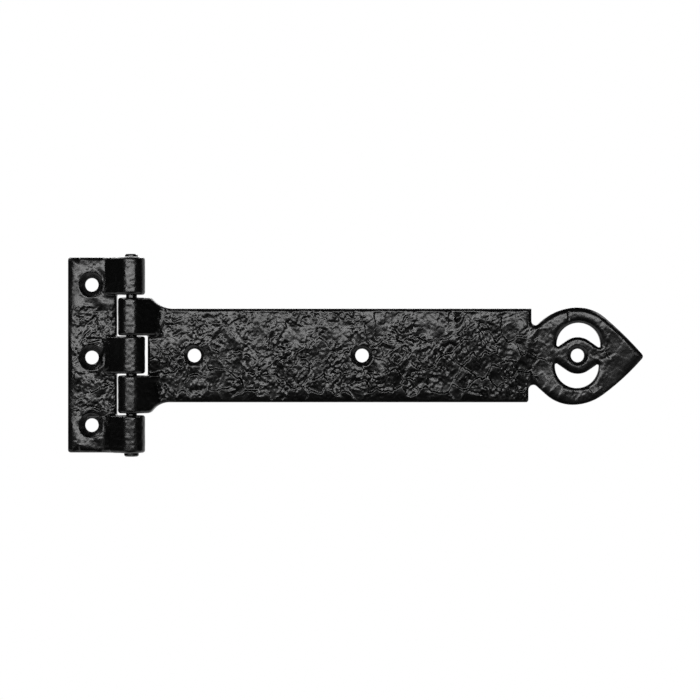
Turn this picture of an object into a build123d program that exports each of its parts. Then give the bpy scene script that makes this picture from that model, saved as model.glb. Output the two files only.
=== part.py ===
"""Cast tee hinge with a pierced spearhead strap.

Three pieces: a frame leaf with three knuckles, a strap with two knuckles and a spearhead end,
and a pin that is headed over at both ends. The hinge is drawn as it is fixed, lying open:
X runs along the strap, Z runs up the pin, both backs lie on Y = 0 and the front faces -Y.
The pieces are drawn about the pin and then moved, so that the origin lies on the back,
midway between the frame leaf's two outer screw holes. All sizes are in millimetres.
"""

import math
import os

from build123d import *

# Leaves
frame_thickness = 4.0
strap_thickness = 4.0
frame_reach = 28.4  # pin axis to the frame leaf's far edge
far_edge_round = 2.4  # front edge of the frame leaf's far side
edge_round = 1.1  # front edges round the rest of both leaves, and their outer knuckle ends
slot_edge_round = 1.5  # front edges beside the other leaf's knuckles

# Knuckles, counted from the middle one, which is centred on Z = 0
barrel_radius = 5.95
barrel_flat = 0.3  # how far the backs are ground into the barrels, so the hinge lies flat
middle_knuckle_height = 16.4
outer_knuckle_height = 16.5
strap_knuckle_height = 16.65
seat_gap = 0.3  # under the strap's upper knuckle, which sits on the middle one
lift_gap = 0.7  # over the strap's lower knuckle
end_gap = 0.85  # least gap between a strap knuckle and an outer one
frame_slot_gap = 0.9  # from a strap knuckle's barrel to the frame leaf's edge
strap_slot_gap = 0.8  # from the middle knuckle's barrel to the strap's edge
frame_ramp_reach = 12.4  # pin axis to the foot of a frame knuckle's ramp
strap_ramp_reach = 12.6
ramp_foot_round = 3.0
knuckle_end_chamfer = 0.6  # inner ends, where one knuckle faces another

# Pin
pin_radius = 2.4
pin_fit = 0.02  # radial, in the frame leaf, which holds the pin
running_gap = 0.1  # radial, in the strap, which turns on it
top_head_radius = 2.85
top_head_height = 1.3
bottom_head_radius = 3.2
bottom_head_height = 1.5
head_chamfer = 0.5

# Screw holes, countersunk from the front
screw_hole_radius = 2.95
sink_angle = 90.0
frame_sink_radius = 5.45
strap_sink_radius = 4.6
tip_sink_radius = 4.5
frame_screw_reach = 18.0  # pin axis to the frame leaf's row of holes
outer_screw_pitch = 61.8
middle_screw_drop = 1.1  # the middle hole sits this much below the middle
first_screw_reach = 27.2
second_screw_reach = 101.0

# Strap
strap_width = 41.2
shoulder_reach = 8.3  # pin axis to where the knuckles' width ends
upper_shoulder_sweep = 12.5
lower_shoulder_sweep = 9.0
upper_shoulder_extra = 0.2  # corner radius over that of the front edge, which rolls round it
lower_shoulder_extra = 1.7

# Spearhead, measured from its screw hole
head_reach = 195.9  # pin axis to the spearhead's hole
tip_reach = 29.2
tip_drop = 0.4  # the tip points a little below the middle
tip_extra = 0.5
neck_slope = 42.0  # degrees, where the neck runs into the spearhead
upper_neck_reach = 20.4  # back to the step between the bar and the neck
upper_neck_round = 1.75
upper_crown_offset = -0.1
upper_crown_height = 21.15
upper_crown_back_radius = 24.0
upper_crown_front_radius = 18.3
upper_flank_slope = 40.0  # degrees, where the crown runs into the long flank
lower_neck_reach = 21.7
lower_neck_round = 2.2
lower_crown_offset = -2.3
lower_crown_height = 21.75
lower_crown_back_radius = 17.2
lower_crown_front_radius = 22.4
lower_flank_slope = 36.0

# Pierced window and the eye that bridges it
window_radius = 9.7
window_spread = 9.35
window_lean = 4.5  # degrees, top towards the tip
window_corner_round = 0.7
window_edge_break = 0.9
eye_radius = 8.1
eye_point_reach = 14.2

# Rough-cast swells of the strap's face, drawn as broad shallow facets
swell_pitch = 8.6
swell_depth = 0.5
swell_lift = 0.1  # how far their rim stands off the face, so that they run out smoothly
swell_margin = 0.5  # flat left beside the rounded edges
swell_wander = 1.9  # how far a facet's corner strays from its place in the grid

# Places that follow from the sizes above
pin_back = barrel_radius - barrel_flat  # pin axis to the back
strap_middle = -(lift_gap - seat_gap) / 2
strap_knuckle_inner = middle_knuckle_height / 2 + (lift_gap + seat_gap) / 2
strap_knuckle_outer = strap_knuckle_inner + strap_knuckle_height
outer_knuckle_inner = middle_knuckle_height / 2 + lift_gap + strap_knuckle_height + end_gap
outer_knuckle_end = outer_knuckle_inner + outer_knuckle_height
frame_slot_edge = barrel_radius + frame_slot_gap
strap_slot_edge = barrel_radius + strap_slot_gap

front = Plane.XZ  # its normal points out of the front, along -Y
tiny = 0.001


def bar_on_pin(radius, low, high):
    """A round bar on the pin's axis between two heights."""
    return extrude(Pos(0, -pin_back, low) * Circle(radius), high - low)


def knuckle_section(side, thickness, ramp_reach):
    """Barrel, flat back and tangent ramp, seen along the pin; the ramp runs to -X or +X by side."""
    foot_run = ramp_reach + ramp_foot_round
    foot_depth = pin_back - thickness
    to_foot = math.hypot(ramp_reach, foot_depth)
    touch_angle = math.atan2(foot_depth, ramp_reach) - math.acos(barrel_radius / to_foot)
    touch = (
        side * barrel_radius * math.cos(touch_angle),
        barrel_radius * math.sin(touch_angle) - pin_back,
    )
    half_flat = math.sqrt(barrel_radius**2 - pin_back**2)
    foot = (side * ramp_reach, -thickness)
    back_start = (-side * half_flat, 0)
    barrel = ThreePointArc(back_start, (-side * barrel_radius, -pin_back), touch)
    web = Polyline(touch, foot, (side * foot_run, -thickness), (side * foot_run, 0), back_start)
    section = make_face([barrel, web])
    return fillet(section.vertices().sort_by_distance(foot)[0], ramp_foot_round)


def end_rim(solid, height):
    """The curved front edges of a knuckle's end; the straight ones between them follow on."""
    at_height = solid.edges().filter_by(GeomType.CIRCLE)
    return at_height.filter_by_position(Axis.Z, height - tiny, height + tiny)


def knuckle(side, thickness, ramp_reach, low, high, broken):
    """One knuckle with its ramp, from a low to a high end; its rims are broken at the heights given."""
    block = extrude(Pos(0, 0, low) * knuckle_section(side, thickness, ramp_reach), high - low)
    for height in broken:
        block = chamfer(end_rim(block, height), knuckle_end_chamfer)
    return block


def screw_cutter(sink_radius, thickness):
    """The space that a countersunk screw takes through a leaf, drawn from the back along +Z."""
    sink_depth = (sink_radius - screw_hole_radius) / math.tan(math.radians(sink_angle / 2))
    cone = loft(
        [
            Pos(0, 0, thickness - sink_depth) * Circle(screw_hole_radius),
            Pos(0, 0, thickness) * Circle(sink_radius),
        ]
    )
    return extrude(Circle(screw_hole_radius), thickness) + cone


def front_flat(leaf):
    """The flat front face of a leaf, which lies behind its knuckles."""
    return leaf.faces().filter_by(Axis.Y).sort_by(Axis.Y)[0]


def slot_edges(leaf, reach):
    """The front edges that face the other leaf's knuckles."""
    return front_flat(leaf).edges().filter_by(Axis.Z).filter_by_position(Axis.X, reach - tiny, reach + tiny)


def follows(edge, outline):
    """Whether an edge stands on an outline that is drawn on the front plane, clear of the back."""
    box = edge.bounding_box()
    upright = max(box.size.X, box.size.Z) < tiny
    wire = outline.wires()[0]
    ends_and_middle = [edge.position_at(t) for t in (0, 0.5, 1)]
    on_wire = all(wire.distance_to(Vertex(p.X, p.Z, 0)) < tiny for p in ends_and_middle)
    return box.min.Y < -tiny and not upright and on_wire


def frame_leaf():
    """The short leaf: three knuckles on a plate, rounded edges, the pin's bore and three screw holes."""
    middle = middle_knuckle_height / 2
    width = frame_reach - frame_slot_edge
    plate = Pos(-frame_slot_edge - width / 2, 0) * Rectangle(width, 2 * outer_knuckle_end)
    leaf = extrude(front * plate, frame_thickness)
    for low, high, broken in (
        (-outer_knuckle_end, -outer_knuckle_inner, [-outer_knuckle_inner]),
        (-middle, middle, [-middle, middle]),
        (outer_knuckle_inner, outer_knuckle_end, [outer_knuckle_inner]),
    ):
        leaf += knuckle(-1, frame_thickness, frame_ramp_reach, low, high, broken)
    leaf = fillet(slot_edges(leaf, -frame_slot_edge), slot_edge_round)
    leaf = fillet(front_flat(leaf).edges().sort_by(Axis.X)[0], far_edge_round)
    for height in (-outer_knuckle_end, outer_knuckle_end):
        leaf = fillet(end_rim(leaf, height), edge_round)
    leaf -= bar_on_pin(pin_radius + pin_fit, -2 * outer_knuckle_end, 2 * outer_knuckle_end)
    for height in (-outer_screw_pitch / 2, -middle_screw_drop, outer_screw_pitch / 2):
        leaf -= front * Pos(-frame_screw_reach, height) * screw_cutter(frame_sink_radius, frame_thickness)
    return leaf


def strap_side(
    sign, sweep, neck_reach, crown_offset, crown_height, back_radius, front_radius, flank_slope
):
    """One long side of the strap, from beyond its barrels to its tip, and the corners along it."""
    half_bar = strap_width / 2
    drop = strap_knuckle_outer - half_bar
    sweep_end = shoulder_reach + math.sqrt(sweep**2 - (sweep - drop) ** 2)
    bar_reach = head_reach - neck_reach
    crown = head_reach + crown_offset
    back_turn, front_turn = math.radians(neck_slope), math.radians(flank_slope)
    back_x = crown - back_radius * math.sin(back_turn)
    back_z = crown_height - back_radius * (1 - math.cos(back_turn))
    neck_z = back_z - (back_x - bar_reach) * math.tan(back_turn)
    flank_x = crown + front_radius * math.sin(front_turn)
    flank_z = crown_height - front_radius * (1 - math.cos(front_turn))
    shoulder = (shoulder_reach, sign * strap_knuckle_outer)
    bar_start = (sweep_end, sign * half_bar)
    bar_end = (bar_reach, sign * half_bar)
    neck = (bar_reach, sign * neck_z)
    crown_start = (back_x, sign * back_z)
    crown_top = (crown, sign * crown_height)
    flank = (flank_x, sign * flank_z)
    tip = (head_reach + tip_reach, -tip_drop)
    edges = [
        Line((-2 * barrel_radius, sign * strap_knuckle_outer), shoulder),
        TangentArc(bar_start, shoulder, tangent=(-1, 0)),
        Polyline(bar_start, bar_end, neck, crown_start),
        TangentArc(crown_top, crown_start, tangent=(-1, 0)),
        TangentArc(crown_top, flank, tangent=(1, 0)),
        TangentArc(flank, tip, tangent=(math.cos(front_turn), -sign * math.sin(front_turn))),
    ]
    return edges, shoulder, neck, tip


def strap_outline():
    """The strap from the front, carried on past its barrels so that their ramps can be cut to it."""
    upper, upper_shoulder, upper_neck, tip = strap_side(
        1,
        upper_shoulder_sweep,
        upper_neck_reach,
        upper_crown_offset,
        upper_crown_height,
        upper_crown_back_radius,
        upper_crown_front_radius,
        upper_flank_slope,
    )
    lower, lower_shoulder, lower_neck, tip = strap_side(
        -1,
        lower_shoulder_sweep,
        lower_neck_reach,
        lower_crown_offset,
        lower_crown_height,
        lower_crown_back_radius,
        lower_crown_front_radius,
        lower_flank_slope,
    )
    start = -2 * barrel_radius
    closing = Line((start, -strap_knuckle_outer), (start, strap_knuckle_outer))
    outline = make_face([closing, *upper, *lower])
    for place, radius in (
        (upper_shoulder, edge_round + upper_shoulder_extra),
        (lower_shoulder, edge_round + lower_shoulder_extra),
        (upper_neck, upper_neck_round),
        (lower_neck, lower_neck_round),
        (tip, edge_round + tip_extra),
    ):
        corner = outline.vertices().sort_by_distance(place)[0]
        outline = fillet(corner, radius)
    return outline


def window_outline():
    """Two crescents: an upright slot with an eye-shaped bridge across its middle."""
    touch = math.acos(eye_radius / eye_point_reach)
    touch_x, touch_z = eye_radius * math.cos(touch), eye_radius * math.sin(touch)
    eye = Circle(eye_radius) + Polygon(
        (eye_point_reach, 0),
        (touch_x, touch_z),
        (-touch_x, touch_z),
        (-eye_point_reach, 0),
        (-touch_x, -touch_z),
        (touch_x, -touch_z),
        align=None,
    )
    half_spread = window_spread / 2
    opening = Rectangle(2 * window_radius, window_spread)
    opening += [Pos(0, half_spread) * Circle(window_radius), Pos(0, -half_spread) * Circle(window_radius)]
    crescents = Rot(0, 0, -window_lean) * opening - eye
    inside = offset(crescents, -window_corner_round)
    return offset(inside, window_corner_round)


def swell_cutter(start, end, half_height):
    """What the rough casting lacks of a flat face: a slab over it with shallow facets underneath."""
    columns, rows = round((end - start) / swell_pitch), round(2 * half_height / swell_pitch)
    column_step, row_step = (end - start) / columns, 2 * half_height / rows
    outside = -strap_thickness - 2 * swell_depth

    def corner(i, j):
        x, z = start + i * column_step, j * row_step - half_height
        if i in (0, columns) or j in (0, rows):
            return (x, -strap_thickness - swell_lift, z)
        x += swell_wander * math.sin(2.3 * i + 4.1 * j)
        z += swell_wander * math.sin(3.7 * i + 1.3 * j)
        hollow = (1.2 + math.sin(1.9 * i + 2.9 * j) * math.cos(0.8 * i - 2.2 * j)) / 2.2
        return (x, swell_depth * hollow - strap_thickness, z)

    facets = []
    for i in range(columns):
        for j in range(rows):
            near, far = corner(i, j), corner(i + 1, j + 1)
            right, above = corner(i + 1, j), corner(i, j + 1)
            if (i + j) % 2:
                facets += [[near, right, above], [right, far, above]]
            else:
                facets += [[near, right, far], [near, far, above]]
    low_rim = [corner(i, 0) for i in range(columns + 1)]
    high_rim = [corner(i, rows) for i in range(columns + 1)]
    start_rim = [corner(0, j) for j in range(rows + 1)]
    end_rim = [corner(columns, j) for j in range(rows + 1)]
    for rim in (low_rim, high_rim, start_rim, end_rim):
        facets.append([*rim, (rim[-1][0], outside, rim[-1][2]), (rim[0][0], outside, rim[0][2])])
    facets.append([(x, outside, z) for x, z in (
        (start, -half_height), (end, -half_height), (end, half_height), (start, half_height)
    )])
    return Solid(Shell([Face(Wire.make_polygon(points, close=True)) for points in facets]))


def strap():
    """The long leaf: its knuckles and front edges first, then the window, the bore and the screw holes."""
    outline = strap_outline()
    envelope = extrude(front * outline, 2 * barrel_radius)
    slab = extrude(front * outline, strap_thickness)
    leaf = split(slab, Plane.YZ.offset(strap_slot_edge))
    for low, high, broken in (
        (strap_knuckle_inner, strap_knuckle_outer, [strap_knuckle_inner]),
        (-strap_knuckle_outer, -strap_knuckle_inner, [-strap_knuckle_inner]),
    ):
        leaf += knuckle(1, strap_thickness, strap_ramp_reach, low, high, broken) & envelope
    leaf = fillet(slot_edges(leaf, strap_slot_edge), slot_edge_round)
    for side in (1, -1):
        around = [e for e in leaf.edges() if follows(e, outline) and side * e.center().Z > 0]
        leaf = fillet(around, edge_round)
    window = extrude(front * Pos(head_reach, 0) * window_outline(), strap_thickness)
    leaf -= window
    rims = [e for e in front_flat(leaf).edges() if window.distance_to(e.center()) < tiny]
    leaf = chamfer(rims, window_edge_break)
    leaf -= bar_on_pin(pin_radius + running_gap, -2 * strap_knuckle_outer, 2 * strap_knuckle_outer)
    for reach in (first_screw_reach, second_screw_reach):
        leaf -= front * Pos(reach, 0) * screw_cutter(strap_sink_radius, strap_thickness)
    leaf -= front * Pos(head_reach, 0) * screw_cutter(tip_sink_radius, strap_thickness)
    swells_start = strap_ramp_reach + ramp_foot_round
    swells_end = head_reach - max(upper_neck_reach, lower_neck_reach) - edge_round - swell_margin
    swells_half = strap_width / 2 - edge_round - swell_margin
    leaf -= swell_cutter(swells_start, swells_end, swells_half)
    return Pos(0, 0, strap_middle) * leaf


def hinge_pin():
    """A plain pin through all five knuckles, with a head hammered over on each end knuckle."""
    shank = bar_on_pin(pin_radius, -outer_knuckle_end, outer_knuckle_end)
    top = bar_on_pin(top_head_radius, outer_knuckle_end, outer_knuckle_end + top_head_height)
    bottom = bar_on_pin(bottom_head_radius, -outer_knuckle_end - bottom_head_height, -outer_knuckle_end)
    top = chamfer(top.edges().sort_by(Axis.Z)[-1], head_chamfer)
    bottom = chamfer(bottom.edges().sort_by(Axis.Z)[0], head_chamfer)
    return shank + top + bottom


if __name__ == "__main__":
    os.makedirs("parts", exist_ok=True)
    to_origin = Pos(frame_screw_reach, 0, 0)
    export_step(to_origin * frame_leaf(), "parts/frame_leaf.step")
    export_step(to_origin * strap(), "parts/strap.step")
    export_step(to_origin * hinge_pin(), "parts/hinge_pin.step")
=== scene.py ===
# %% [markdown]
# # A rough-cast tee hinge
#
# The real object is a black tee hinge: a short upright plate, a long strap with a pierced
# spearhead, and a pin between them. Both leaves are poured in sand, so their faces are lumpy,
# and both are powder-coated black. They could be modelled here from nothing, but an exact model
# with true sizes and a working joint is there already. So this file loads it and dresses it,
# from the outside in: picture first, then light, then finish, then the rough faces.

# %% Load the exact model
import math

import bmesh
import bpy
import numpy as np
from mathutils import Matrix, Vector, kdtree


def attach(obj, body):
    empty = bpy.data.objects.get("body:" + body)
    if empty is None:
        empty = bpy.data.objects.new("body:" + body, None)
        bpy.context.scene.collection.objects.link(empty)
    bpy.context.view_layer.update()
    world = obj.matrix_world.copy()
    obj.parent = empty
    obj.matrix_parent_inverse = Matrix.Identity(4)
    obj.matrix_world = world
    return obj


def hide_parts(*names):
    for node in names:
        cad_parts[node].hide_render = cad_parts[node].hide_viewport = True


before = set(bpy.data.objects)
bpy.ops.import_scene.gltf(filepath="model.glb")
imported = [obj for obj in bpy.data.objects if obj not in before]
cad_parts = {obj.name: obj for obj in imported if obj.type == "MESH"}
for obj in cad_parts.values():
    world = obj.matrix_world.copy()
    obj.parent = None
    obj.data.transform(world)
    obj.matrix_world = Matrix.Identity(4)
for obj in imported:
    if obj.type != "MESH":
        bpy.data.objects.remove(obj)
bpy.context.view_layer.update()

MM = 0.001

# %% [markdown]
# ## The view
#
# A hinge is photographed square on, from far enough away that its sides hardly show. A camera
# without perspective would hide them quite, but a long lens is what the photographer has. The
# picture is square, so one number ties the lens to the width seen: lens = sensor width x
# distance / width. The camera stands 0.85 m in front of the faces.

# %% Camera
VIEW_CENTRE = (0.1137, 0.0022)  # X and Z of the middle of the picture, in metres
VIEW_WIDTH = 0.3072
VIEW_DISTANCE = 0.850
SENSOR_WIDTH = 36.0  # in mm, as is the lens
FACE_Y = -4.0 * MM  # Y of the front faces of both leaves

camera_data = bpy.data.cameras.new("camera")
camera_data.sensor_width = SENSOR_WIDTH
camera_data.lens = SENSOR_WIDTH * VIEW_DISTANCE / VIEW_WIDTH
camera = bpy.data.objects.new("camera", camera_data)
camera.location = (VIEW_CENTRE[0], FACE_Y - VIEW_DISTANCE, VIEW_CENTRE[1])
camera.rotation_euler = (math.radians(90), 0, 0)
bpy.context.scene.collection.objects.link(camera)
bpy.context.scene.camera = camera
bpy.context.scene.view_settings.view_transform = "Standard"
print("lens", round(camera_data.lens, 1), "mm")

# %% [markdown]
# ## A helper for nodes
#
# Blender's materials and its world are both graphs of nodes. They can be clicked together by
# hand, but a script makes them the same each time. One small function adds a node, sets its
# sockets and links what comes into it, so that each graph below reads as a short list.


# %% Add one node
def add_node(tree, kind, inputs=None, **settings):
    """Adds a node; an input is a number or colour, or a socket of another node to link."""
    node = tree.nodes.new(kind)
    for name, value in settings.items():
        setattr(node, name, value)
    for name, value in (inputs or {}).items():
        if isinstance(value, bpy.types.NodeSocket):
            tree.links.new(value, node.inputs[name])
        else:
            node.inputs[name].default_value = value
    return node


def srgb(code):
    """A hex colour as linear red, green, blue and alpha, by the curve of the sRGB standard."""
    channels = [int(code[i : i + 2], 16) / 255 for i in (1, 3, 5)]
    linear = [c / 12.92 if c <= 0.04045 else ((c + 0.055) / 1.055) ** 2.4 for c in channels]
    return (*linear, 1.0)


def any_ray(tree, *kinds):
    """1 for a ray of light of any of the kinds, and 0 for the others."""
    rays = add_node(tree, "ShaderNodeLightPath")
    value = rays.outputs[kinds[0]]
    for kind in kinds[1:]:
        both = add_node(tree, "ShaderNodeMath", {0: value, 1: rays.outputs[kind]}, operation="MAXIMUM")
        value = both.outputs[0]
    return value


print("helpers ready, middle grey is", round(srgb("#808080")[0], 3))

# %% [markdown]
# ## The surroundings
#
# A glossy black thing shows its surroundings more than its own colour. A picture of a real
# studio could surround it, but a few smooth fades need no file and are easy to move. The
# backdrop is white, so the world is white to the camera and to clear things. What the coat
# mirrors is a darkened studio in front, and the white backdrop only behind and a little to the
# right, which keeps the knuckles black but for a thin bright rim. Pale tables low at both sides
# show the faces from other angles.

# %% Places and strengths in the world
FRONT_GLOW = 0.010  # the dark side of the studio
BACKDROP_GLOW = 0.9
BACKDROP_AXIS = (0.36, 0.933, 0.0)  # its middle, behind and a little to the right
BACKDROP_EDGE = (0.62, 0.86)  # cosine of the angle from its middle, where it fades in
SIDE_GLOW = 0.90  # pale tables low at both sides
SIDE_EDGE = (0.45, 0.65)  # how far to the side they fade in, as X of the direction
SIDE_TOP = (-0.20, -0.38)  # how far down, as Z of the direction

print("backdrop", BACKDROP_GLOW, "and tables", SIDE_GLOW, "over a dark", FRONT_GLOW)

# %% World
world = bpy.data.worlds.new("studio")
bpy.context.scene.world = world
world.use_nodes = True
tree = world.node_tree
tree.nodes.clear()
direction = add_node(tree, "ShaderNodeTexCoord").outputs["Generated"]
towards = add_node(tree, "ShaderNodeSeparateXYZ", {0: direction})
aside = add_node(tree, "ShaderNodeMath", {0: towards.outputs["X"]}, operation="ABSOLUTE")
back = add_node(tree, "ShaderNodeVectorMath", {0: direction, 1: BACKDROP_AXIS}, operation="DOT_PRODUCT")

# What is measured, the edge where it fades, and the value before and after that edge
fades = {
    "behind": (back.outputs["Value"], BACKDROP_EDGE, FRONT_GLOW, BACKDROP_GLOW),
    "at the side": (aside.outputs[0], SIDE_EDGE, 0.0, SIDE_GLOW),
    "low down": (towards.outputs["Z"], SIDE_TOP, 0.0, 1.0),
}
faded = {}
for place, (value, edge, before, after) in fades.items():
    ends = {"From Min": edge[0], "From Max": edge[1], "To Min": before, "To Max": after}
    ramp = add_node(tree, "ShaderNodeMapRange", {"Value": value, **ends}, interpolation_type="SMOOTHSTEP")
    faded[place] = ramp.outputs["Result"]
print("faded", list(faded))

# %% Backdrop and studio
tables = add_node(
    tree, "ShaderNodeMath", {0: faded["at the side"], 1: faded["low down"]}, operation="MULTIPLY"
)
glow = add_node(tree, "ShaderNodeMath", {0: faded["behind"], 1: tables.outputs[0]}, operation="ADD")
studio = add_node(tree, "ShaderNodeBackground", {"Strength": glow.outputs[0]})
white = add_node(tree, "ShaderNodeBackground", {"Color": srgb("#FFFFFF"), "Strength": 1.0})
seen = any_ray(tree, "Is Camera Ray", "Is Transmission Ray")
chosen = add_node(tree, "ShaderNodeMixShader", {0: seen, 1: studio.outputs[0], 2: white.outputs[0]})
add_node(tree, "ShaderNodeOutputWorld", {"Surface": chosen.outputs[0]})
print("world of", len(tree.nodes), "nodes")

# %% [markdown]
# ## The lamps
#
# The barrels carry an upright bright band with clean edges: the mirror image of one wide soft
# box above and behind the camera. A small hard lamp would leave a thin line there. The width of
# the box was worked out from the band, because a barrel turns every degree of its own curve
# into two degrees of the room, and it is kept low, so that lumps catch it only where they face
# up. Boxes high at the sides and behind keep the edges readable from other angles. The one at the
# right is weak, because the spearhead's edge mirrors it, and that edge is black on the real hinge.

# %% Soft boxes
KEY_LEFT, KEY_RIGHT = -1.15, 0.67
KEY_BOTTOM, KEY_TOP = 0.07, 0.26
KEY_Y = -1.2
KEY_POWER = 11.6
# The other boxes: middle and size in metres, and power in watts
EDGE_BOXES = {
    "left high": ((-0.9, 0.1, 1.1), (0.5, 0.5), 8.0),
    "right high": ((1.1, 0.1, 1.1), (0.5, 0.5), 3.5),
    "back high": ((0.1, 1.2, 0.9), (1.2, 0.6), 16.0),
}


def soft_box(name, middle, size, power, aim):
    """A rectangular lamp that faces a point."""
    lamp = bpy.data.lights.new(name, "AREA")
    lamp.shape = "RECTANGLE"
    lamp.size, lamp.size_y = size
    lamp.energy = power
    box = bpy.data.objects.new(name, lamp)
    box.location = middle
    box.rotation_euler = (Vector(aim) - Vector(middle)).to_track_quat("-Z", "Y").to_euler()
    bpy.context.scene.collection.objects.link(box)


key_middle = ((KEY_LEFT + KEY_RIGHT) / 2, KEY_Y, (KEY_BOTTOM + KEY_TOP) / 2)
key_size = (KEY_RIGHT - KEY_LEFT, KEY_TOP - KEY_BOTTOM)
straight_on = (key_middle[0], 0, key_middle[2])
soft_box("key", key_middle, key_size, KEY_POWER, straight_on)
for name, (middle, size, power) in EDGE_BOXES.items():
    soft_box(name, middle, size, power, (VIEW_CENTRE[0], 0, 0))
print("key", [round(v, 2) for v in key_size], "m, others", list(EDGE_BOXES))

# %% [markdown]
# ## The black coat
#
# Powder coat is a resin that melts onto the iron in an oven. It flows a little, which leaves a
# faint orange peel, and it can't hide the grain of the sand. It isn't a metal: its gloss is that
# of a clear resin with an index near 1.5, over a colour that is almost black. Photographs of
# paint could be wrapped around it, but noise made from sizes in millimetres stays sharp from near
# and needs no seams. The grain is only wanted on the rough faces, so it is multiplied by a number
# that each point of the mesh carries.

# %% Sizes of the coat
ROUGH = "rough_cast"  # the name of that number, 0 on smooth places and about 1 on rough ones
COAT_BLACK = "#040404"
COAT_IOR = 1.5
GLOSS, GLOSS_SPREAD = 0.27, 0.03  # the roughness of semi-gloss powder, and how far it strays
CLOUD_MM, CLOUD_RANGE = 9.0, (0.3, 0.7)  # its duller patches, and where their noise mostly lies
PEEL_MM = 1.5
GRAIN_MM = 1.2  # moulding sand is about 0.3 mm, finer than a pixel, so it is drawn this coarse
GRAIN_DISTORTION = 0.6
print("orange peel", PEEL_MM, "mm and grain", GRAIN_MM, "mm wide")


# %% Powder coat
def powder_coat(name, peel_depth_mm, grain_depth_mm):
    """Semi-gloss black resin with orange peel, and with sand grain where the mesh is rough."""
    material = bpy.data.materials.new(name)
    material.use_nodes = True
    tree = material.node_tree
    tree.nodes.clear()
    place = add_node(tree, "ShaderNodeTexCoord").outputs["Object"]
    cloud = add_node(
        tree, "ShaderNodeTexNoise", {"Vector": place, "Scale": 1 / (CLOUD_MM * MM), "Detail": 3.0}
    )
    gloss = add_node(
        tree,
        "ShaderNodeMapRange",
        {
            "Value": cloud.outputs["Fac"],
            "From Min": CLOUD_RANGE[0],
            "From Max": CLOUD_RANGE[1],
            "To Min": GLOSS - GLOSS_SPREAD,
            "To Max": GLOSS + GLOSS_SPREAD,
        },
    )
    grain = add_node(
        tree,
        "ShaderNodeTexNoise",
        {"Vector": place, "Scale": 1 / (GRAIN_MM * MM), "Detail": 0.0, "Distortion": GRAIN_DISTORTION},
    )
    rough = add_node(tree, "ShaderNodeAttribute", attribute_name=ROUGH)
    grain_height = add_node(
        tree, "ShaderNodeMath", {0: grain.outputs["Fac"], 1: rough.outputs["Fac"]}, operation="MULTIPLY"
    )
    grain_bump = add_node(
        tree,
        "ShaderNodeBump",
        {"Strength": 1.0, "Distance": grain_depth_mm * MM, "Height": grain_height.outputs[0]},
    )
    peel = add_node(
        tree, "ShaderNodeTexNoise", {"Vector": place, "Scale": 1 / (PEEL_MM * MM), "Detail": 0.0}
    )
    peel_bump = add_node(
        tree,
        "ShaderNodeBump",
        {
            "Strength": 1.0,
            "Distance": peel_depth_mm * MM,
            "Height": peel.outputs["Fac"],
            "Normal": grain_bump.outputs["Normal"],
        },
    )
    coat = add_node(
        tree,
        "ShaderNodeBsdfPrincipled",
        {
            "Base Color": srgb(COAT_BLACK),
            "Roughness": gloss.outputs["Result"],
            "IOR": COAT_IOR,
            "Normal": peel_bump.outputs["Normal"],
        },
    )
    add_node(tree, "ShaderNodeOutputMaterial", {"Surface": coat.outputs["BSDF"]})
    return material


print("the coat is grainy by", ROUGH)

# %% Two coats
# Rough-cast iron under black powder: the resin rounds the finest grit and pools in the creases.
cast_coat = powder_coat("black_powder_coat_on_cast_iron", peel_depth_mm=0.06, grain_depth_mm=0.05)
# The pin is drawn steel rod under the same powder, so only the orange peel shows.
pin_coat = powder_coat("black_powder_coat_on_steel", peel_depth_mm=0.03, grain_depth_mm=0.0)
print("materials:", [m.name for m in (cast_coat, pin_coat)])

# %% [markdown]
# ## A fine mesh of a casting
#
# The exact model has large flat faces with no points inside them, so nothing can be pressed
# into it, and cutting its long triangles up would leave slivers. A voxel remesh covers a copy
# with even, small squares instead, and a shrinkwrap lays them back on the true surface. The back
# stays flat, so its squares are swapped for a few long triangles. The exact piece itself stays
# as it is, because the physics needs it.

# %% A flat back
TOUCHING = 1e-6  # in metres; points that lie closer than this are one point
BACK_Y = 0.0


def flatten_back(mesh):
    """Swaps the many small squares of the flat back for a few long triangles."""
    piece = bmesh.new()
    piece.from_mesh(mesh)
    behind = {v for v in piece.verts if v.co.y > BACK_Y - TOUCHING}
    inner = {v for v in behind if all(edge.other_vert(v) in behind for edge in v.link_edges)}
    squares = [face for face in piece.faces if all(v in inner for v in face.verts)]
    bmesh.ops.delete(piece, geom=squares, context="FACES")
    outline = [edge for edge in piece.edges if edge.is_boundary]
    bmesh.ops.triangle_fill(piece, edges=outline, normal=(0, 1, 0), use_beauty=True)
    piece.to_mesh(mesh)
    piece.free()


print("flat backs lie at Y", BACK_Y)

# %% Fine copies
VOXEL_MM = 0.39


def fine_copy(node, name):
    """An evenly meshed copy of an exact piece, in the piece's own place."""
    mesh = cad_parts[node].data.copy()
    welded = bmesh.new()
    welded.from_mesh(mesh)
    bmesh.ops.remove_doubles(welded, verts=welded.verts, dist=TOUCHING)
    welded.to_mesh(mesh)
    welded.free()
    shape = bpy.data.objects.new(name + "_shape", mesh)
    bpy.context.scene.collection.objects.link(shape)
    fine = bpy.data.objects.new(name, mesh.copy())
    bpy.context.scene.collection.objects.link(fine)
    remesh = fine.modifiers.new("even squares", "REMESH")
    remesh.mode = "VOXEL"
    remesh.voxel_size = VOXEL_MM * MM
    wrap = fine.modifiers.new("back on the casting", "SHRINKWRAP")
    wrap.target = shape
    wrap.wrap_method = "NEAREST_SURFACEPOINT"
    ready = fine.evaluated_get(bpy.context.evaluated_depsgraph_get())
    fine.modifiers.clear()
    fine.data = bpy.data.meshes.new_from_object(ready)
    bpy.data.objects.remove(shape)
    flatten_back(fine.data)
    print(name, sum(len(face.vertices) - 2 for face in fine.data.polygons), "triangles")
    return fine


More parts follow.
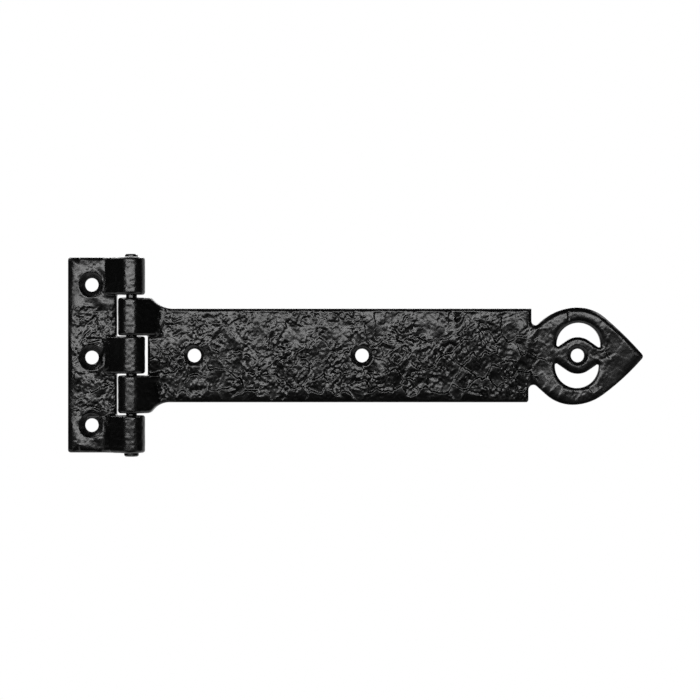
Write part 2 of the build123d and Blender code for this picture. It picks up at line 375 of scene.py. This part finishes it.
fine_strap = fine_copy("strap", "strap_casting")
fine_frame = fine_copy("frame_leaf", "frame_casting")

# %% [markdown]
# ## Where the face is, and how far its edges are
#
# Iron leaves the sand with soft edges, and how soft a place is depends on how far off the edge
# is. A bevel needs one clean edge loop, which a fine mesh doesn't have, so the distance is
# measured instead. The exact mesh tells which of its faces look straight ahead. The rim of that
# region is sampled into a KD-tree, which finds the nearest bit of edge for any place. Each
# sample also keeps the way out, so that a bottom edge can be rounded more than a top one.

# %% The rim of a front face
FACE_MM = FACE_Y / MM  # Y of the front faces
SAMPLE_MM = 0.3
FACING = -0.97  # Y of the normal of a face that looks ahead, shallow swells included
FACE_SLACK_MM = 0.05  # how far in front of the front faces a point still counts as on them
FACE_DEPTH_MM = 0.7  # how far behind the highest face the swells may lie


def face_rim(node):
    """Points in mm along the rim of a node's front face, and the way out at each."""
    part = bmesh.new()
    part.from_mesh(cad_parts[node].data)
    bmesh.ops.remove_doubles(part, verts=part.verts, dist=TOUCHING)

    def looks_ahead(face):
        depths = [(v.co.y - FACE_Y) / MM for v in face.verts]
        return face.normal.y < FACING and -FACE_SLACK_MM < min(depths) and max(depths) < FACE_DEPTH_MM

    points, ways_out = [], []
    for edge in part.edges:
        ahead = [face for face in edge.link_faces if looks_ahead(face)]
        if len(ahead) != 1:
            continue
        start, end = (v.co / MM for v in edge.verts)
        across = Vector((end.z - start.z, 0, start.x - end.x)).normalized()
        if across.dot(edge.verts[0].co - ahead[0].calc_center_median()) < 0:
            across.negate()
        steps = max(1, math.ceil((end - start).length / SAMPLE_MM))
        for i in range(steps):
            points.append(start.lerp(end, i / steps))
            ways_out.append((across.x, across.z))
    part.free()
    return np.array(points), np.array(ways_out)


def tree_of(points):
    """A KD-tree over places on the front plane."""
    tree = kdtree.KDTree(len(points))
    for i, (x, _, z) in enumerate(points):
        tree.insert((x, 0, z), i)
    tree.balance()
    return tree


rims = {node: face_rim(node) for node in ("strap", "frame_leaf")}
print({node: len(points) for node, (points, _) in rims.items()}, "rim points")

# %% [markdown]
# ## Dice for the skin
#
# Sand leaves no pattern, so the skin is made of noise. Blender's own noise takes one place at a
# time, which is slow for a hundred thousand, and noise is only random numbers at the corners of
# a grid, blended in between. Two kinds are enough here: waves, which rise and fall gently, and
# lumps, where every place belongs to the nearest of many scattered centres and each lump leans
# its own way. Both work on whole arrays of places at once.

# %% Waves
GRID = 128  # corners each way before the numbers repeat, for the small lumps every 160 mm
DICE = np.random.default_rng(4).uniform(-1.0, 1.0, (3, GRID, GRID))
WAVE_SHIFT = (7.3, 3.1)  # how far the waves of one seed lie from the next on the grid


def dice(layer, i, j):
    """The random number of a corner of the grid, the same every time it is asked for."""
    return DICE[layer, i % GRID, j % GRID]


def smooth(value, start, end):
    """0 at start, 1 at end and a smooth ramp between, whichever of the two is larger."""
    t = np.clip((value - start) / (end - start), 0, 1)
    return t * t * (3 - 2 * t)


def waves(x, z, size, seed):
    """Smooth random heights from -1 to 1; a hill is about size mm wide."""
    u, v = x / size + WAVE_SHIFT[0] * seed, z / size + WAVE_SHIFT[1] * seed
    i, j = np.floor(u).astype(int), np.floor(v).astype(int)
    a, b = smooth(u - i, 0, 1), smooth(v - j, 0, 1)
    low = dice(0, i, j) * (1 - a) + dice(0, i + 1, j) * a
    high = dice(0, i, j + 1) * (1 - a) + dice(0, i + 1, j + 1) * a
    return low * (1 - b) + high * b


places = np.linspace(0, 40, 200)
print("waves up to", round(float(np.abs(waves(places, places, 5.0, 1)).max()), 2))

# %% Lumps
LUMP_SHIFT = (5.7, 2.9)  # how far the lumps of one seed lie from the next on the grid
SCATTER = 0.42  # how far the centre of a lump may stray from the middle of its square
OWN_HEIGHT = 0.35  # how much higher or lower a whole lump may lie, beside its lean


def lumps(x, z, size, seed, fall=0.0):
    """Lumps size mm wide: how far off the own centre is, and the height from the lump's lean.

    With fall, every lump also leans down, so that the top of the next one below stands out as a
    ledge."""
    u, v = x / size + LUMP_SHIFT[0] * seed, z / size + LUMP_SHIFT[1] * seed
    column, row = np.floor(u).astype(int), np.floor(v).astype(int)
    nearest, lean = np.full(u.shape, np.inf), np.zeros(u.shape)
    for i in (column - 1, column, column + 1):
        for j in (row - 1, row, row + 1):
            du = u - i - 0.5 - SCATTER * dice(0, i, j)
            dv = v - j - 0.5 - SCATTER * dice(1, i, j)
            away = np.hypot(du, dv)
            own = OWN_HEIGHT * dice(2, i, j) + du * dice(1, j, i) + dv * (fall + dice(2, j, i))
            lean = np.where(away < nearest, own, lean)
            nearest = np.minimum(away, nearest)
    return nearest, lean


print("lump centres up to", round(float(lumps(places, places, 5.0, 1)[0].max()), 2), "lumps away")

# %% [markdown]
# ## The skin of a sand casting
#
# Seen close, the face is a crust. Ledges about 6 mm wide tip whole patches towards or away from
# the light, with low swells between them. Lumps under 2 mm wide sit on top, and ridges and
# wrinkles drawn out along both diagonals give the grain. A photograph of plaster used as a height
# map would be quicker, but it would repeat and show its pixels. A gentle warp of the places keeps
# the grid out of sight, and all of it is a little taller than wide, because a lamp from above
# shows mostly the slopes that face up or down.

# %% Grain and ledges
SHARPNESS = 0.8  # of the crests of ridges and wrinkles; lower is sharper
STRETCH = 1.8  # how much longer than wide they are
LEAST_FALL = -0.4  # at the top edge, where the ledges lean up a little
LOWER_FALLS = ((1.7, 17.0, -2.0), (0.7, -2.0, -16.0))  # what is added from one Z in mm to another
FAR_FALL = (0.9, 90.0, 170.0)  # what is added from one X in mm to another


def wrinkles(x, z, size, seed):
    """Ridges with sharp crests, from -1 to 1."""
    return 1 - 2 * np.abs(waves(x, z, size, seed)) ** SHARPNESS


def drawn_out(x, z, degrees):
    """Places squeezed along a diagonal, so that what is made from them is drawn out along it."""
    turn = math.radians(degrees)
    along = (x * math.cos(turn) + z * math.sin(turn)) / STRETCH
    return along, z * math.cos(turn) - x * math.sin(turn)


def ledge_fall(x, z):
    """How far the ledges lean down: not at the top edge, most low down and towards the head."""
    lower = sum(more * smooth(z, start, end) for more, start, end in LOWER_FALLS)
    more, start, end = FAR_FALL
    return lower + LEAST_FALL + more * smooth(x, start, end)


falls = ledge_fall(np.array([50.0, 180.0]), np.array([22.0, -20.0]))
print("ledges lean down by", falls.round(2), "at the top left and low at the right")

# %% Crust
# Width in mm of each kind of form, and how strong it is
SWELL_MM, SWELL_DEPTH = 8.5, 0.16
LEDGE_MM, LEDGE_DEPTH = 6.0, 0.42
PATCH_MM, PATCH_DEPTH = 3.6, 0.28
RIDGE_MM, RIDGE_DEPTH = 5.2, 0.16
LUMP_MM, LUMP_DOME, LUMP_DEPTH, LUMP_LEAN = 1.6, 0.4, 0.36, 0.36
WRINKLE_MM, WRINKLE_DEPTH = 1.1, 0.22
BUSY_MM, BUSY_LEAST, BUSY_MORE = 5.5, 0.3, 0.8  # how lumpy calm patches are, and what busy ones add
BUSY_FADE = (-0.5, 0.3)
TURN_MM, DIAGONALS = 9.0, (-50, 45)  # patches of grain, and the two ways it runs in degrees
TURN_FADE = (-0.25, 0.25)
WARPS = ((1.6, 6.5), (0.5, 1.9))  # how far in mm each warp shifts a place, and how wide it is
TALLER = 1.25  # how much taller, and how much narrower, everything gets


def crust(x, z):
    """Height in mm of the rough skin, about level on average."""
    (far, wide), (near, narrow) = WARPS
    wx = (x + far * waves(x, z, wide, 1) + near * waves(x, z, narrow, 2)) * TALLER
    wz = (z + far * waves(x, z, wide, 3) + near * waves(x, z, narrow, 4)) / TALLER
    busy = BUSY_LEAST + BUSY_MORE * smooth(waves(x, z, BUSY_MM, 9), *BUSY_FADE)
    turned = smooth(waves(x, z, TURN_MM, 10), *TURN_FADE)
    height = SWELL_DEPTH * waves(wx, wz, SWELL_MM, 5)
    height += LEDGE_DEPTH * lumps(wx, wz, LEDGE_MM, 19, ledge_fall(x, z))[1]
    for share, degrees in zip((1 - turned, turned), DIAGONALS):
        u, v = drawn_out(wx, wz, degrees)
        height += share * PATCH_DEPTH * waves(u, v, PATCH_MM, 12)
        height += share * RIDGE_DEPTH * wrinkles(u, v, RIDGE_MM, 6)
        height += share * busy * WRINKLE_DEPTH * wrinkles(u, v, WRINKLE_MM, 7)
    away, lean = lumps(wx, wz, LUMP_MM, 13)
    return height + busy * (LUMP_DEPTH * (LUMP_DOME - away**2) + LUMP_LEAN * lean)


sample = crust(*np.meshgrid(places, places))
print("crust from", round(sample.min(), 2), "to", round(sample.max(), 2), "mm")

# %% [markdown]
# ## Soft edges
#
# The iron is rounded where it leaves the sand: most along the bottom of the bar and around the
# spearhead, and least along the top of the plate. One radius all round would be simpler, but the
# black borders of the real hinge differ in width. So each kind of edge has a width and a depth
# of rounding at a top edge, and what a bottom edge adds to both.

# %% Kinds of edge
# Each in mm: the width on top and what is added at the bottom, then the same for the depth
BAR_EDGE = ((1.2, 3.6), (0.22, 0.62))
HEAD_EDGE = ((1.5, 2.3), (0.5, 0.35))
WINDOW_EDGE = ((1.5, 1.1), (0.22, 0.38))
PLATE_EDGE = ((1.0, 1.5), (0.08, 0.25))
PLATE_LEFT_EDGE = (3.4, 0.75)  # only a width and a depth, because it runs upright


def rounding(edge, down):
    """Width and depth of one kind of rounding; down is 0 on a top edge and 1 on a bottom one."""
    (width, more_width), (depth, more_depth) = edge
    return width + more_width * down, depth + more_depth * down


print("bar rounded", BAR_EDGE[1][0], "mm deep on top and", sum(BAR_EDGE[1]), "mm at the bottom")

# %% Edges of each leaf
HEAD_CENTRE = (213.9, -0.2)  # X and Z in mm
WINDOW_REACH = 15.5  # the crescent windows lie closer than this to the head's centre
HEAD_EDGE_SPAN = (189.0, 195.0)  # X in mm where the edges of the bar turn into the head's
BAR_EDGE_SPAN = (33.6, 38.0)  # X in mm where the bar's edges begin, past the ramps
PLATE_LEFT_X = -5.0  # the plate's left edge lies before this, in mm
LEVEL = 0.7  # Z of the way out, up or down, of an edge that runs level


def blend(one, other, share):
    """One value where share is 0, the other where it is 1, and a mix of both between."""
    return one + share * (other - one)


def strap_rolls(x, z, out_z):
    """Width and depth in mm of the rounding behind each point of the strap's rim."""
    down = 0.5 * (1 - out_z)
    on_head = smooth(x, *HEAD_EDGE_SPAN)
    on_window = np.hypot(x - HEAD_CENTRE[0], z - HEAD_CENTRE[1]) < WINDOW_REACH
    kinds = zip(rounding(BAR_EDGE, down), rounding(HEAD_EDGE, down), rounding(WINDOW_EDGE, down))
    width, depth = (np.where(on_window, window, blend(bar, head, on_head)) for bar, head, window in kinds)
    return width, depth * smooth(x, *BAR_EDGE_SPAN)


def plate_rolls(x, z, out_z):
    """The same for the plate, whose upright edges are only rounded on the left."""
    width, depth = rounding(PLATE_EDGE, 0.5 * (1 - out_z))
    left, level = x < PLATE_LEFT_X, np.abs(out_z) > LEVEL
    left_width, left_depth = PLATE_LEFT_EDGE
    return np.where(left, left_width, width), np.where(left, left_depth, depth * level)


window_width = float(strap_rolls(np.array([214.0]), np.array([14.0]), np.array([1.0]))[0][0])
print("rounding", window_width, "mm wide at a window and", PLATE_LEFT_EDGE[0], "mm at the plate's left")

# %% [markdown]
# ## Rough and smooth places
#
# The crust isn't even. The bar is rough from end to end, the spearhead is smoother except at the
# ends of its eye, and the ramps that climb to the knuckles are clean. One roughness for all
# would be quicker, but these differences are what the eye knows the hinge by. Each function
# below says how rough a place is, and how far it lies back under the exact face: the bar is
# crowned a little, the spearhead leans down with broad dents, and a crack crosses its ring.

# %% Borders
HEAD_SPAN = (190.0, 199.0)  # X in mm over which the bar turns into the spearhead
TIP_SPAN = (222.0, 230.0)  # and the spearhead into its tip
TIP_RAG, TIP_RAG_MM = 2.0, 6.0  # how far waves shift that border, and how wide they are
STRAP_RAMP_FOOT = (28.5, 30.5)  # X in mm over which the strap's ramps end
PLATE_RAMP_FOOT = (4.4, 5.6)  # and the plate's begin
RAGS = ((1.2, 5.0, 14), (0.6, 2.0, 15))  # waves along a border: height and size in mm, and seed


def ragged(x, z):
    """X with a random shift, so that a change along it has an uneven border."""
    return x + sum(height * waves(x, z, size, seed) for height, size, seed in RAGS)


print("ramps end at about", STRAP_RAMP_FOOT[0], "and", PLATE_RAMP_FOOT[1], "mm")

# %% Roughness and form of the strap
# Roughness of the bar's top, what low and far places add, and Z or X in mm over which they do
BAR_ROUGH, LOW_ROUGH, FAR_ROUGH = 0.85, 0.35, 0.1
LOW_SPAN, FAR_SPAN = (16.0, -8.0), (110.0, 180.0)
# The same for the ring, the ends of the eye, the foot of the head and the tip
RING_ROUGH, EYE_ROUGH, FOOT_ROUGH, TIP_ROUGH = 0.22, 0.4, 0.25, 0.12
EYE_NEAR, EYE_FAR, EYE_HIGH = (6.0, 9.0), (18.0, 13.0), (7.0, 3.0)
FOOT_SPAN, TIP_ROUGH_SPAN = (-9.0, -13.0), (225.0, 231.0)
STRAP_MIDDLE_Z = -0.2
STRAP_ROWS = (7.9, 8.5)  # mm from that middle over which the ramps begin
CROWN_Z, CROWN_REACH, CROWN_DEPTH = 7.0, 26.8, 0.9  # the highest line, and how the bar falls off
CROWN_SPAN = (33.6, 40.0)  # X in mm over which the crown begins
HEAD_LEAN, HEAD_LEAN_TOP, HEAD_LEAN_REACH = 0.058, 12.0, 18.0  # mm deeper for each mm down
TIP_LEAN, TIP_LEAN_TOP = 0.10, 11.0
DENT_MM, DENT_DEPTH = 8.0, 0.3
CRACK_X, CRACK_Z, CRACK_HALF, CRACK_WIDTH, CRACK_DEPTH = 209.8, 17.1, 1.3, 0.4, 0.5


def strap_skin(x, z):
    """How rough the strap is at a place, and how far in mm it lies back."""
    from_head = x - HEAD_CENTRE[0]
    on_head = smooth(x, *HEAD_SPAN)
    on_tip = smooth(x + TIP_RAG * waves(x, z, TIP_RAG_MM, 22), *TIP_SPAN)
    beside_hole = smooth(np.abs(from_head), *EYE_NEAR) * smooth(from_head, *EYE_FAR)
    eye_ends = smooth(np.abs(z), *EYE_HIGH) * beside_hole
    head_rough = RING_ROUGH + EYE_ROUGH * eye_ends + FOOT_ROUGH * smooth(z, *FOOT_SPAN)
    bar_rough = BAR_ROUGH + LOW_ROUGH * smooth(z, *LOW_SPAN) + FAR_ROUGH * smooth(x, *FAR_SPAN)
    rough = blend(blend(bar_rough, head_rough, on_head), TIP_ROUGH, smooth(x, *TIP_ROUGH_SPAN))
    in_row = smooth(np.abs(z - STRAP_MIDDLE_Z), *STRAP_ROWS)
    on_ramp = (1 - smooth(ragged(x, z), *STRAP_RAMP_FOOT)) * in_row
    from_crown = (z - CROWN_Z) / CROWN_REACH
    crown = CROWN_DEPTH * (1 - on_head) * from_crown**2 * smooth(x, *CROWN_SPAN)
    lean = HEAD_LEAN * on_head * (1 - on_tip) * np.clip(HEAD_LEAN_TOP - z, 0, HEAD_LEAN_REACH)
    lean += TIP_LEAN * on_tip * np.clip(TIP_LEAN_TOP - z, 0, None)
    dents = DENT_DEPTH * on_head * (1 + waves(x, z, DENT_MM, 21))
    off_crack = np.hypot(x - CRACK_X, np.clip(np.abs(z - CRACK_Z) - CRACK_HALF, 0, None))
    crack = CRACK_DEPTH * np.exp(-((off_crack / CRACK_WIDTH) ** 2))
    return rough * (1 - on_ramp), crown + lean + dents + crack


bar_middle, head_top = strap_skin(np.array([100.0, 214.0]), np.array([0.0, 17.0]))[0]
print("roughness", round(bar_middle, 2), "on the bar and", round(head_top, 2), "on the ring")

# %% Roughness and form of the plate
PLATE_ROUGH, MIDDLE_ROUGH = 0.2, 0.65  # the plate's ends, and what the middle adds
MIDDLE_LOW, MIDDLE_HIGH = (-30.0, -25.0), (19.0, 23.0)  # Z in mm where the middle begins and ends
OUTER_ROWS, OUTER_HALF, MIDDLE_HALF = 34.65, 8.6, 8.5  # Z and half height in mm of its knuckles
ROW_FADE = 0.6  # how soon in mm above and below a knuckle the skin begins
STREAK_MM, STREAK_DEPTH, STREAK_DEGREES = 3.5, 0.32, -60


def plate_skin(x, z):
    """The same for the plate, which is rough between its outer screws and streaked all over."""
    rough = PLATE_ROUGH + MIDDLE_ROUGH * smooth(z, *MIDDLE_LOW) * (1 - smooth(z, *MIDDLE_HIGH))
    off_outer, off_middle = np.abs(np.abs(z) - OUTER_ROWS) - OUTER_HALF, np.abs(z) - MIDDLE_HALF
    in_row = 1 - smooth(np.minimum(off_outer, off_middle), 0.0, ROW_FADE)
    on_ramp = smooth(ragged(x, z), *PLATE_RAMP_FOOT) * in_row
    streaks = STREAK_DEPTH * (1 + waves(*drawn_out(x, z, STREAK_DEGREES), STREAK_MM, 17))
    return rough * (1 - on_ramp), streaks


print("plate rough", round(float(plate_skin(np.zeros(1), np.full(1, 12.0))[0][0]), 2), "in the middle")

# %% [markdown]
# ## Pressing it all in
#
# The relief of the real casting is a millimetre or so deep, enough to soften its edges and to
# shade its hollows. A bump in the material would leave both flat, so the points themselves move.
# The relief only goes inward, so that the hinge keeps its measured size. Every point of the face
# goes straight back by the depth at its place, and points further down a side follow less and
# less, so that the back stays where it is. The countersinks go back whole and stay clean. The
# barrels are first smoothed a little, because the exact model's facets would show in the gloss,
# and then get a soft ripple.

# %% Helpers for points
# X, Z and radius in mm of each countersink
SCREW_HOLES = {
    "strap": [(45.2, -0.2, 4.6), (119.0, -0.2, 4.6), (213.9, -0.2, 4.5)],
    "frame_leaf": [(0.0, 30.9, 5.45), (0.0, -1.1, 5.45), (0.0, -30.9, 5.45)],
}


def read_points(mesh, what):
    """Coordinates or normals of a mesh, as rows of three numbers."""
    rows = np.empty(len(mesh.vertices) * 3)
    mesh.vertices.foreach_get(what, rows)
    return rows.reshape(-1, 3)


def read_edges(mesh):
    """The two points of each edge of a mesh, as rows of two numbers."""
    rows = np.empty(len(mesh.edges) * 2, dtype=int)
    mesh.edges.foreach_get("vertices", rows)
    return rows.reshape(-1, 2)


def off_screws(node, x, z):
    """Distance in mm from the edge of the nearest countersink, less than 0 inside it."""
    gaps = [np.hypot(x - hole_x, z - hole_z) - radius for hole_x, hole_z, radius in SCREW_HOLES[node]]
    return np.minimum.reduce(gaps)


print({node: len(holes) for node, holes in SCREW_HOLES.items()}, "countersinks")

# %% Rounding off the facets
BARREL_X, BARREL_Y, BARREL_R = 18.0, -5.65, 5.95  # the middle and radius of the barrels, in mm
PIN_ROOM = 3.5  # radius in mm that is left alone, where the pin needs its room
SCREW_ROOM = 0.1  # the same in mm around each countersink
RAISED_Y = -2.6  # points in front of this Y in mm are softened a little, those of the faces more
RAISED_ROUNDS, FACE_ROUNDS = 4, 12


def soften(values, edges, chosen, rounds):
    """Averages each chosen point with its neighbours, which rounds the exact model's facets."""
    size = len(values)
    neighbours = np.bincount(edges.ravel(), minlength=size)
    for _ in range(rounds):
        total = np.bincount(edges[:, 0], values[edges[:, 1]], size)
        total += np.bincount(edges[:, 1], values[edges[:, 0]], size)
        values = np.where(chosen, 0.5 * values + 0.5 * total / neighbours, values)
    return values


def off_pin(x, y):
    """Whether a place is clear of the pin's room."""
    return np.hypot(x - BARREL_X, y - BARREL_Y) > PIN_ROOM


def softened(node, x, y, z, edges):
    """The points of a fine copy without the facets of its barrels, its ramps and its swells."""
    plain = off_pin(x, y) & (off_screws(node, x, z) > SCREW_ROOM)
    raised = (y < RAISED_Y) & plain
    x, y, z = (soften(values, edges, raised, RAISED_ROUNDS) for values in (x, y, z))
    on_face = (y > FACE_MM - FACE_SLACK_MM) & (y < FACE_MM + FACE_DEPTH_MM) & plain
    return x, soften(y, edges, on_face, FACE_ROUNDS), z


chain = soften(np.array([0.0, 1.0, 0.0]), np.array([[0, 1], [1, 2]]), np.array([False, True, False]), 1)
print("one round takes a point from 1.0 to", float(chain[1]), "between neighbours at 0.0")

# %% Depth of the rounded edges
HOLE_RIM = 0.6  # rim points closer than this in mm to a countersink belong to its hole
SHARP = 0.05  # an edge that is rounded less deep than this in mm counts as sharp


def edge_roll(node, x, z, rolls_at):
    """Depth in mm of the rounded edges at each place, and how near the edge is, 1 on it."""
    points, ways_out = rims[node]
    outer = off_screws(node, points[:, 0], points[:, 2]) > HOLE_RIM
    points, ways_out = points[outer], ways_out[outer]
    widths, depths = rolls_at(points[:, 0], points[:, 2], ways_out[:, 1])
    rim = tree_of(points)
    found = [rim.find((x[i], 0, z[i]))[1:] for i in range(len(x))]
    nearest = np.array([index for index, _ in found])
    inside = np.array([distance for _, distance in found])
    to_rim = points[nearest][:, (0, 2)] - np.column_stack([x, z])
    inside *= np.where((to_rim * ways_out[nearest]).sum(axis=1) > 0, 1, -1)
    near = np.clip(1 - inside / widths[nearest], 0, None)
    # Beyond the rim the rounding goes on at the slope that it has on the rim.
    roll = depths[nearest] * np.where(near < 1, near**2, np.minimum(2 * near - 1, 2))
    return roll, np.clip(near, 0, 1) * (depths[nearest] > SHARP)


heights = np.array([0.0, -23.0])
rolled = edge_roll("strap", np.full(2, 100.0), heights, strap_rolls)[0]
print("rounded at Z", heights, "by", rolled.round(2))

# %% Depth of the whole relief
SKIN_MM = 0.6  # how far the middle of the crust lies under the exact face
CREST_MM = 0.3  # crests that would stand proud are rounded off over this height
DEEPEST_MM = 2.0  # no place goes deeper, so that thin edges keep their body
EDGE_CALM = 0.6  # how much of the roughness an edge loses
SCREW_FADE = (-0.3, 0.7)  # over which distance in mm from a countersink the crust begins


def face_depth(node, x, z, rolls_at, skin_at):
    """Depth in mm of the relief at each place, and how rough the coat looks there."""
    roll, at_edge = edge_roll(node, x, z, rolls_at)
    rough, back = skin_at(x, z)
    rough = rough * (1 - EDGE_CALM * at_edge)
    clear = smooth(off_screws(node, x, z), *SCREW_FADE)
    under = SKIN_MM - clear * crust(x, z)
    depth = roll + back + rough * 0.5 * (under + np.hypot(under, CREST_MM))
    return DEEPEST_MM * np.tanh(depth / DEEPEST_MM), rough * clear


pressed = face_depth("strap", np.full(2, 100.0), heights, strap_rolls, strap_skin)[0]
print("pressed in at Z", heights, "by", pressed.round(2))

# %% Relief
RAMP_REACH_MM = 2.0  # how far up the knuckles' ramps the crust may climb
BACK_ROOM_MM = 0.1  # points closer than this to the back stay as they are
SIDE_REACH_MM = 1.5  # how far from the back the sides of the castings stay as they are
SINK_REACH_MM = 1.3  # how far from the back a point in a countersink goes in by the whole depth
SINK_EDGE_MM = 0.3  # how far around a countersink its points count as in it
RIPPLE_MM, RIPPLE_DEPTH = 1.1, 0.055


def relieve(piece, node, rolls_at, skin_at):
    """Pushes the front of a fine copy inward by its crust and its rounded edges."""
    mesh = piece.data
    x, y, z = read_points(mesh, "co").T / MM
    off_bore = off_pin(x, y)
    x, y, z = softened(node, x, y, z, read_edges(mesh))

    front = np.nonzero((y > FACE_MM - RAMP_REACH_MM) & (y < -BACK_ROOM_MM))[0]
    across, up, ahead = x[front], z[front], -y[front]
    depth, rough = face_depth(node, across, up, rolls_at, skin_at)
    in_sink = off_screws(node, across, up) < SINK_EDGE_MM
    at_side = (ahead - SIDE_REACH_MM) / (-FACE_MM - SIDE_REACH_MM)
    share = np.clip(np.where(in_sink, ahead / SINK_REACH_MM, at_side), 0, 1)
    y[front] += depth * share

    high = np.nonzero((y < FACE_MM - FACE_SLACK_MM) & off_bore)[0]
    around = BARREL_R * np.arctan2(y[high] - BARREL_Y, x[high] - BARREL_X)
    ripple = RIPPLE_DEPTH * (1 + waves(around, z[high], RIPPLE_MM, 18))
    moved = np.column_stack([x, y, z])
    moved[high] -= read_points(mesh, "normal")[high] * ripple[:, None]
    mesh.vertices.foreach_set("co", (moved * MM).ravel())
    roughness = np.zeros(len(y))
    roughness[front] = rough * share
    mesh.attributes.new(ROUGH, "FLOAT", "POINT").data.foreach_set("value", roughness)
    mesh.update()
    print(node, "relief", round(float(depth.min()), 2), "to", round(float(depth.max()), 2), "mm deep")


relieve(fine_strap, "strap", strap_rolls, strap_skin)
relieve(fine_frame, "frame_leaf", plate_rolls, plate_skin)

# %% [markdown]
# ## Dressing the model
#
# Each rough casting stands in for its exact piece and rides on the same body, so the strap
# swings with its skin on. The skin could be built for the rest position alone, but then it would
# stay behind when the joint moves. The pin is plain rod, right as it is, and only gets its coat.

# %% Bodies, slots and materials
for piece, node, body in ((fine_strap, "strap", "strap"), (fine_frame, "frame_leaf", "frame")):
    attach(piece, body)
    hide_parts(node)
    piece.data.materials.clear()
    piece.data.materials.append(cast_coat)
    piece.data.shade_smooth()
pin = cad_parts["hinge_pin"]
for slot in pin.material_slots:
    slot.material = pin_coat
print(fine_strap.name, "and", fine_frame.name, "wear", cast_coat.name, "and the pin", pin_coat.name)

# %% [markdown]
# ## The floor
#
# The hinge hangs before the camera as on a wall, so a plain pale floor lies well below it, out
# of the picture. It is white to the camera, to mirrors and to clear things, and a pale matt
# plane to the lamps, so that it takes shadows and lends the undersides a little light. It could
# run on towards the camera, but then every bump that leans down would mirror it, and the black
# coat would turn grey. So it begins a little in front of the hinge and runs back.

# %% Floor
FLOOR_Z = -0.60
FLOOR_FRONT = -0.3
FLOOR_SIZE = 3.0

floor_middle = (VIEW_CENTRE[0], FLOOR_FRONT + FLOOR_SIZE / 2, FLOOR_Z)
bpy.ops.mesh.primitive_plane_add(size=FLOOR_SIZE, location=floor_middle)
floor = bpy.context.object
floor.name = "floor"
pale = bpy.data.materials.new("pale_matt_floor")
pale.use_nodes = True
tree = pale.node_tree
tree.nodes.clear()
matt = add_node(tree, "ShaderNodeBsdfDiffuse", {"Color": srgb("#E8E8E6")})
bright = add_node(tree, "ShaderNodeEmission", {"Color": srgb("#FFFFFF"), "Strength": 1.0})
seen = any_ray(tree, "Is Camera Ray", "Is Transmission Ray", "Is Glossy Ray")
top = add_node(tree, "ShaderNodeMixShader", {0: seen, 1: matt.outputs[0], 2: bright.outputs[0]})
add_node(tree, "ShaderNodeOutputMaterial", {"Surface": top.outputs[0]})
floor.data.materials.append(pale)
print("floor at", FLOOR_Z, "m")
